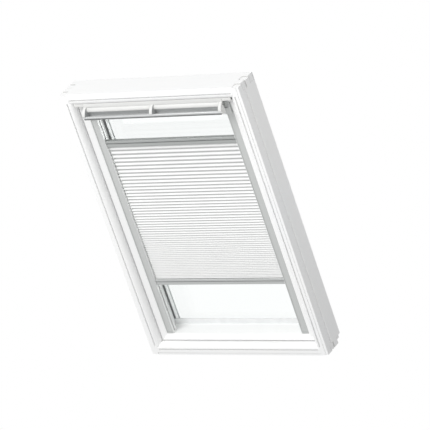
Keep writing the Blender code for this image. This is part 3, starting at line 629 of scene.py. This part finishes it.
# Spots are shares of the two sides of the face that the screws are in.
fixings = {
    "cover": {"radius": 0.0042, "proud": 0.0, "spots": ((0.5, 0.5),)},
    "bracket": {"radius": 0.0027, "proud": 0.0011, "spots": ((0.30, 0.80), (0.70, 0.80))},
    "plate": {"radius": 0.0032, "proud": 0.0004, "spots": ((0.2, 0.1), (0.8, 0.1), (0.2, 0.9), (0.8, 0.9))},
    "lock": {"radius": 0.0022, "proud": 0.0004, "spots": ((0.08, 0.5), (0.92, 0.5))},
}


def facePoints(node, facing, spots):
    # Points on the side of a node's box that faces the given way.
    low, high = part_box(node)
    points = []
    for spot in spots:
        sides = iter(spot)
        shares = [(1 + way) / 2 if way else next(sides) for way in facing]
        points.append(Vector([a + (b - a) * share for a, b, share in zip(low, high, shares)]))
    return points


def buildScrews(name, kind, plates, facing, steel, body):
    # Screw heads of one kind, whose tops stand proud of the plates that they hold.
    sizes = fixings[kind]
    shape = screwShape()
    bm = bmesh.new()
    lift = sizes["proud"] - screwSizes["headHeight"] / 2 * sizes["radius"]
    turn = Vector(facing).to_track_quat("Z", "Y").to_matrix().to_4x4()
    for place in [point for plate in plates for point in facePoints(plate, facing, sizes["spots"])]:
        count = len(bm.verts)
        bm.from_mesh(shape)
        bm.verts.ensure_lookup_table()
        spot = place + Vector(facing) * lift
        matrix = Matrix.Translation(spot) @ turn @ Matrix.Scale(sizes["radius"], 4)
        bmesh.ops.transform(bm, matrix=matrix, verts=bm.verts[count:])
    bpy.data.meshes.remove(shape)
    screws = finishPiece(name, bm, steel, body, smoothAngle=30.0)
    return screws


def buildFixings(steel):
    covers = [name for name in nodes if name.startswith("cover_screw")]
    heads = buildScrews("cover_screw_heads", "cover", covers, (0, 1, 0), steel, "frame")
    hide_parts(*covers)
    for word, side in (("left", -1), ("right", 1)):
        bracket = f"rail_bracket_{word}"
        buildScrews(f"bracket_screws_{word}", "bracket", [bracket], (0, -1, 0), steel, "sash")
        for plate, body, outward in (("pivot_bracket", "frame", -side), ("pivot_plate", "sash", side)):
            facing = (outward, 0, 0)
            buildScrews(f"{plate}_screws_{word}", "plate", [f"{plate}_{word}"], facing, steel, body)
    buildScrews("strike_plate_screws", "lock", ["strike_plate"], (0, 0, -1), steel, "frame")
    buildScrews("lock_case_screws", "lock", ["lock_case"], (0, 0, 1), steel, "sash")


barSizes = {
    "round": 0.0028,
    "rim": 0.0004,
    "margin": 0.0003,
    # The next six sizes place the dark strip of painted shade under the bar.
    "shadeStripShare": 0.14,
    "shadeStripDrop": 0.0030,
    "shadeStripSunk": 0.0012,
    "shadeStripInset": 0.0013,
    "shadeStripEndGap": 0.004,
    "shadeStripRound": 0.0008,
    "capLength": 0.0016,
    "capRim": 0.0005,
}


def buildControlBar(metal, dark, moulding):
    # Bar with a dark strip let into its underside as painted shade, and a moulded cap on each end.
    sizes = barSizes
    low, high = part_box("control_bar")
    split = low.z + (high.z - low.z) * sizes["shadeStripShare"]
    margin = Vector((0, sizes["margin"], sizes["margin"]))
    block = roundedBlock(Vector((low.x, low.y, split)) + margin, high - margin, sizes["round"], sizes["rim"])
    bar = finishPiece("control_bar_profile", block, metal, "flap")
    inset = Vector((sizes["shadeStripEndGap"], sizes["shadeStripInset"], 0))
    start = Vector((low.x, low.y, low.z - sizes["shadeStripDrop"])) + inset
    stop = Vector((high.x, high.y, split + sizes["shadeStripSunk"])) - inset
    block = roundedBlock(start, stop, sizes["shadeStripRound"], sizes["rim"])
    shadeStrip = finishPiece("control_bar_shade_strip", block, dark, "flap")
    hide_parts("control_bar")
    for word, x in (("left", low.x - sizes["capLength"]), ("right", high.x)):
        start, stop = Vector((x, low.y, split)), Vector((x + sizes["capLength"], high.y, high.z))
        block = roundedBlock(start, stop, sizes["round"], sizes["capRim"])
        finishPiece(f"control_bar_cap_{word}", block, moulding, "flap")


flapLipSizes = {
    "front": 0.0045,
    "back": 0.0066,
    "rise": 0.0112,
    "sunk": 0.0045,
    "endGap": 0.0002,
    "round": 0.0006,
    "rim": 0.0004,
}


def buildFlapLip(moulding):
    # Upright lip along the flap's top, from arm to arm, that closes the gap below the frame head.
    sizes = flapLipSizes
    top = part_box("vent_flap")[1].z
    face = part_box("frame_head")[0].y
    left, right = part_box("bar_arm_left")[0].x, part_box("bar_arm_right")[1].x
    start = Vector((left + sizes["endGap"], face + sizes["front"], top - sizes["sunk"]))
    stop = Vector((right - sizes["endGap"], face + sizes["back"], top + sizes["rise"]))
    block = roundedBlock(start, stop, sizes["round"], sizes["rim"])
    finishPiece("flap_top_lip", block, moulding, "flap")


cornerLipSizes = {"web": 0.0021, "into": 0.0010, "armGap": 0.0007, "jambGap": 0.0012, "round": 0.0005}


def buildCornerLips(moulding):
    # Fixed lengths of the same lip on the sash head, beyond the arms, each with a web back to the head.
    lip, sizes = flapLipSizes, cornerLipSizes
    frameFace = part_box("frame_head")[0].y
    front, back = frameFace + lip["front"], frameFace + lip["back"]
    ledge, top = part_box("sash_head")[1].z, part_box("vent_flap")[1].z + lip["rise"]
    foot, deep = ledge - sizes["web"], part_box("sash_head")[0].y + sizes["into"]
    outline = [(front, foot), (deep, foot), (deep, ledge), (back, ledge), (back, top), (front, top)]
    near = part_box("bar_arm_right")[1].x + sizes["armGap"]
    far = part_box("frame_jamb_right")[0].x - sizes["jambGap"]
    for word, side in (("left", -1), ("right", 1)):
        bm = prism(outline, side * near, side * far, sizes["round"])
        finishPiece(f"corner_lip_{word}", bm, moulding, "sash")


armShadeSheetSizes = {"thickness": 0.0006, "margin": 0.0005, "flatWithin": 0.5}


def buildArmShadeSheets(grey):
    # Painted shade: grey sheets on the arms' inner sides, which lie in shade, cut to the outline of the arm
    # itself.
    sizes = armShadeSheetSizes
    for word, sides in (("left", (1,)), ("middle", (-1, 1)), ("right", (-1,))):
        for side in sides:
            bm = bmesh.new()
            bm.from_mesh(nodes[f"bar_arm_{word}"].data)
            bmesh.ops.remove_doubles(bm, verts=bm.verts, dist=weldGap)
            bm.normal_update()
            others = [face for face in bm.faces if face.normal.x * side < squareOn]
            bmesh.ops.delete(bm, geom=others, context="FACES")
            bmesh.ops.dissolve_limit(bm, angle_limit=math.radians(sizes["flatWithin"]), verts=bm.verts,
                                     edges=bm.edges)
            rim = bmesh.ops.inset_region(bm, faces=list(bm.faces), thickness=sizes["margin"])["faces"]
            bmesh.ops.delete(bm, geom=rim, context="FACES")
            grown = bmesh.ops.extrude_face_region(bm, geom=list(bm.faces))
            bmesh.ops.translate(bm, vec=(side * sizes["thickness"], 0, 0), verts=newCorners(grown))
            ending = "" if len(sides) == 1 else ("_left" if side < 0 else "_right")
            finishPiece(f"arm_shade_sheet_{word}{ending}", bm, grey, "flap")


slotShadeSizes = {
    "fromMiddle": 0.2925,
    "heightShare": 0.53,
    "halfLength": 0.0095,
    "halfHeight": 0.0013,
    "proud": 0.0006,
    "sunk": 0.0008,
    "round": 0.0004,
    "rim": 0.0005,
}


def buildBracketSlotShades(dark):
    # A dark strip across each rail bracket, as painted shade of a slot.
    sizes = slotShadeSizes
    for word, side in (("left", -1), ("right", 1)):
        low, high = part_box(f"rail_bracket_{word}")
        height = low.z + (high.z - low.z) * sizes["heightShare"]
        middle = Vector((side * sizes["fromMiddle"], low.y, height))
        start = middle - Vector((sizes["halfLength"], sizes["proud"], sizes["halfHeight"]))
        stop = middle + Vector((sizes["halfLength"], sizes["sunk"], sizes["halfHeight"]))
        block = roundedBlock(start, stop, sizes["round"], sizes["rim"])
        finishPiece(f"bracket_slot_shade_{word}", block, dark, "sash")


gasketSizes = {
    "splitAboveSill": 0.0004,
    "lipEndGap": 0.028,
    "lipProud": 0.0008,
    "lipSunk": 0.0012,
    "lipHeight": 0.0205,
    "lipRound": 0.0006,
    "lipRim": 0.0003,
}


def buildGasket(black, white):
    # The glazing gasket is dark at the head and sides, and a white strip seals the glass on the sill.
    sizes = gasketSizes
    source = nodes["glazing_gasket"].data
    low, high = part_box("glazing_gasket")
    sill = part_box("sash_sill")[1]
    split = sill.z + sizes["splitAboveSill"]
    for name, keepAbove, material in (("gasket_upper", True, black), ("gasket_sill", False, white)):
        bm = bmesh.new()
        bm.from_mesh(source)
        bmesh.ops.remove_doubles(bm, verts=bm.verts, dist=weldGap)
        whole = list(bm.verts) + list(bm.edges) + list(bm.faces)
        cut = bmesh.ops.bisect_plane(bm, geom=whole, plane_co=(0, 0, split), plane_no=(0, 0, 1),
                                     clear_inner=keepAbove, clear_outer=not keepAbove)["geom_cut"]
        bmesh.ops.holes_fill(bm, edges=[part for part in cut if isinstance(part, bmesh.types.BMEdge)])
        piece = finishPiece(name, bm, material, "sash", smoothAngle=25.0)
        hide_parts("glazing_gasket")
    reach = sill.x - sizes["lipEndGap"]
    start = Vector((-reach, low.y - sizes["lipProud"], split - sizes["lipSunk"]))
    stop = Vector((reach, high.y, split + sizes["lipHeight"]))
    lip = roundedBlock(start, stop, sizes["lipRound"], sizes["lipRim"])
    finishPiece("gasket_sill_lip", lip, white, "sash")


def buildPieces(finishes):
    moulding = finishes["white_moulding"]
    buildFixings(finishes["zinc_plate"])
    # The control bar's dark underside strip is painted shade.
    buildControlBar(finishes["control_bar_anodised"], finishes["underside_shade"], moulding)
    buildFlapLip(moulding)
    buildCornerLips(moulding)
    # Grey sheets of painted shade on the arms' inner sides.
    buildArmShadeSheets(finishes["cheek_anodised"])
    # Dark strips across the rail brackets, as painted shade of a slot.
    buildBracketSlotShades(finishes["bracket_slot_shade"])
    buildGasket(finishes["black_seal"], finishes["white_seal"])


# Cloth

pleatSizes = {
    "face": 0.010,
    "count": 52,
    "tightest": 0.40,
    "falloff": 1.6,
    "foldRadius": 0.00055,
    "thickness": 0.00028,
    "columns": 44,
    "waviness": 0.00006,
    "wavesAcross": 4.0,
    "wavesDown": 26.0,
    "waveSlice": 3.0,
    "waveLift": 0.7,
    "heldNearBars": 0.02,
    # The next four values shape the painted shade in the pleats' valleys.
    "foldShadeFade": 0.6,
    "foldShadeOnFaces": 0.40,
    "foldShadeAtTop": 0.5,
    "foldShadeAtFoot": 0.3,
}


def pleatFolds(top, bottom, depth):
    # Fold points in (y, z) from the upper to the lower bar, closer together lower down.
    sizes = pleatSizes
    count, rest = sizes["count"], 1 - sizes["tightest"]
    heights = [sizes["tightest"] + rest * (1 - i / count) ** sizes["falloff"] for i in range(count)]
    scale = (top - bottom) / sum(heights)
    folds = [Vector((depth, top))]
    z = top
    for height in heights:
        pitch = height * scale
        reach = math.sqrt(sizes["face"] ** 2 - (pitch / 2) ** 2) / 2
        folds.append(Vector((depth + reach, z - pitch / 4)))
        folds.append(Vector((depth - reach, z - pitch * 3 / 4)))
        z -= pitch
    folds.append(Vector((depth, bottom)))
    return folds


def clothRows(folds, depth):
    # Rows of the cloth as (point, painted fold shade) from fold to fold, with each fold rounded a little.
    # Painted shade in the valleys: strongest at a fold behind, 0 at one in front, fading where the pleats
    # close up.
    sizes = pleatSizes
    radius = sizes["foldRadius"]
    widest = (folds[1] - folds[3]).length
    rows = [(folds[0], sizes["foldShadeAtTop"])]
    for before, fold, after in zip(folds, folds[1:], folds[2:]):
        into, out = (fold - before).normalized(), (after - fold).normalized()
        start, stop = fold - into * radius * 2, fold + out * radius * 2
        openness = min(1.0, abs(before.y - after.y) / widest) ** sizes["foldShadeFade"]
        fold_shade = openness if fold.x > depth else 0.0
        rows += [(before.lerp(fold, 0.5), openness * sizes["foldShadeOnFaces"]), (start, fold_shade),
                 ((start + stop) / 4 + fold / 2, fold_shade), (stop, fold_shade)]
    return rows + [(folds[-1], sizes["foldShadeAtFoot"])]


def wavy(x, y, z, top, bottom):
    # A point of the cloth with its gentle unevenness, which ends where the bars hold the cloth.
    sizes = pleatSizes
    held = min(1.0, (top - z) / sizes["heldNearBars"], (z - bottom) / sizes["heldNearBars"])
    spot = Vector((x * sizes["wavesAcross"], z * sizes["wavesDown"], sizes["waveSlice"]))
    shift = noise.noise_vector(spot) * sizes["waviness"] * max(held, 0.0)
    return x, y + shift.x, z + shift.y * sizes["waveLift"]


def buildCloth(material):
    low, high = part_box("pleated_cloth")
    top, bottom, depth = high.z, low.z, (low.y + high.y) / 2
    width = high.x - low.x
    rows = clothRows(pleatFolds(top, bottom, depth), depth)
    sizes = pleatSizes
    columns = sizes["columns"]
    bm = bmesh.new()
    uvLayer = bm.loops.layers.uv.new("UVMap")
    foldShadeLayer = bm.verts.layers.float.new("fold_shade")
    grid = []
    run = 0.0
    runs = []
    for i, (row, fold_shade) in enumerate(rows):
        run += (row - rows[i - 1][0]).length if i else 0.0
        runs.append(run)
        line = []
        for column in range(columns + 1):
            vertex = bm.verts.new(wavy(low.x + width * column / columns, row.x, row.y, top, bottom))
            vertex[foldShadeLayer] = fold_shade
            line.append(vertex)
        grid.append(line)
    for i in range(len(grid) - 1):
        for j in range(columns):
            corners = ((i, j), (i + 1, j), (i + 1, j + 1), (i, j + 1))
            face = bm.faces.new([grid[a][b] for a, b in corners])
            for loop, (a, b) in zip(face.loops, corners):
                loop[uvLayer].uv = (width * b / columns, runs[a])
    bmesh.ops.recalc_face_normals(bm, faces=bm.faces)
    bmesh.ops.solidify(bm, geom=list(bm.faces), thickness=sizes["thickness"])
    cloth = finishPiece("cloth_pleats", bm, material, None, smoothAngle=60.0)
    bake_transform(cloth, "top_bar", "bottom_bar", start=(0, depth, top), end=(0, depth, bottom))
    weights = cloth.data.attributes["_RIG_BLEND"].data
    for vertex, weight in zip(cloth.data.vertices, weights):
        weight.value = min(1.0, max(0.0, (top - vertex.co.z) / (top - bottom)))
    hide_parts("pleated_cloth")


# Camera, light and background

cameraFit = {
    "right": (0.8306, 0.4699, -0.2990),
    "up": (0.0178, 0.5142, 0.8575),
    "back": (0.5566, -0.7175, 0.4187),
    "distance": 12.183,
    "aim": (0.078, 0.040),
    "lens": 280.5,
    "sensor": 36.0,
    "farthest": 100.0,
}


def buildCamera():
    fit = cameraFit
    right, up, back = Vector(fit["right"]), Vector(fit["up"]), Vector(fit["back"])
    roomFace = Vector((0.0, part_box("frame_head")[0].y, 0.0))
    place = roomFace + right * fit["aim"][0] + up * fit["aim"][1] + back * fit["distance"]
    data = bpy.data.cameras.new("camera")
    data.lens = fit["lens"]
    data.sensor_width = fit["sensor"]
    data.clip_end = fit["farthest"]
    camera = bpy.data.objects.new("camera", data)
    bpy.context.scene.collection.objects.link(camera)
    turn = Matrix((right, up, back)).transposed().to_4x4()
    camera.matrix_world = Matrix.Translation(place) @ turn
    bpy.context.scene.camera = camera


# Each area light has its place, the side of its square and its power, and faces the window's middle.
lightPlan = {
    "ambient": 0.455,
    "ambientTint": (0.99, 0.995, 1.0),
    "areas": (
        ("key_light", (-1.0, -2.7, 4.1), 2.6, 146.0),
        ("right_light", (2.2, -4.3, 0.8), 2.4, 53.5),
        ("right_near_light", (1.6, -0.1, 1.2), 0.6, 2.6),
        ("left_light", (-3.8, -3.0, -0.3), 3.0, 24.0),
        ("window_light", (0.22, 0.62, -0.10), 0.6, 3.6),
    ),
}


def buildLights():
    for name, place, size, power in lightPlan["areas"]:
        data = bpy.data.lights.new(name, "AREA")
        data.shape = "SQUARE"
        data.size = size
        data.energy = power
        lamp = bpy.data.objects.new(name, data)
        bpy.context.scene.collection.objects.link(lamp)
        lamp.location = place
        lamp.rotation_euler = (-Vector(place)).to_track_quat("-Z", "Y").to_euler()


def buildWorld():
    # The camera, mirrors and glass see plain white, and everything else gets a soft even light.
    world = bpy.data.worlds.new("studio")
    bpy.context.scene.world = world
    world.use_nodes = True
    tree = world.node_tree
    tree.nodes.clear()
    output = tree.nodes.new("ShaderNodeOutputWorld")
    white, ambient = tree.nodes.new("ShaderNodeBackground"), tree.nodes.new("ShaderNodeBackground")
    white.inputs["Color"].default_value = (1.0, 1.0, 1.0, 1.0)
    ambient.inputs["Color"].default_value = (*lightPlan["ambientTint"], 1.0)
    ambient.inputs["Strength"].default_value = lightPlan["ambient"]
    paths = tree.nodes.new("ShaderNodeLightPath")
    seen = paths.outputs["Is Camera Ray"]
    for label in ("Is Transmission Ray", "Is Glossy Ray"):
        either = tree.nodes.new("ShaderNodeMath")
        either.operation = "MAXIMUM"
        tree.links.new(seen, either.inputs[0])
        tree.links.new(paths.outputs[label], either.inputs[1])
        seen = either.outputs[0]
    mix = tree.nodes.new("ShaderNodeMixShader")
    for source, target in zip((seen, ambient.outputs[0], white.outputs[0]), mix.inputs):
        tree.links.new(source, target)
    tree.links.new(mix.outputs[0], output.inputs["Surface"])


buildCamera()
buildLights()
buildWorld()
bpy.context.scene.view_settings.view_transform = "Standard"
print("camera, lights and background ready")
finishes = makeFinishes()
print("finishes mixed:", len(finishes))
buildPieces(finishes)
print("screws, lips, cheeks, catches and gasket built")
dressNodes(finishes)
print("carried-over parts finished")
buildCloth(finishes["pleated_weave"])
print("cloth folded")
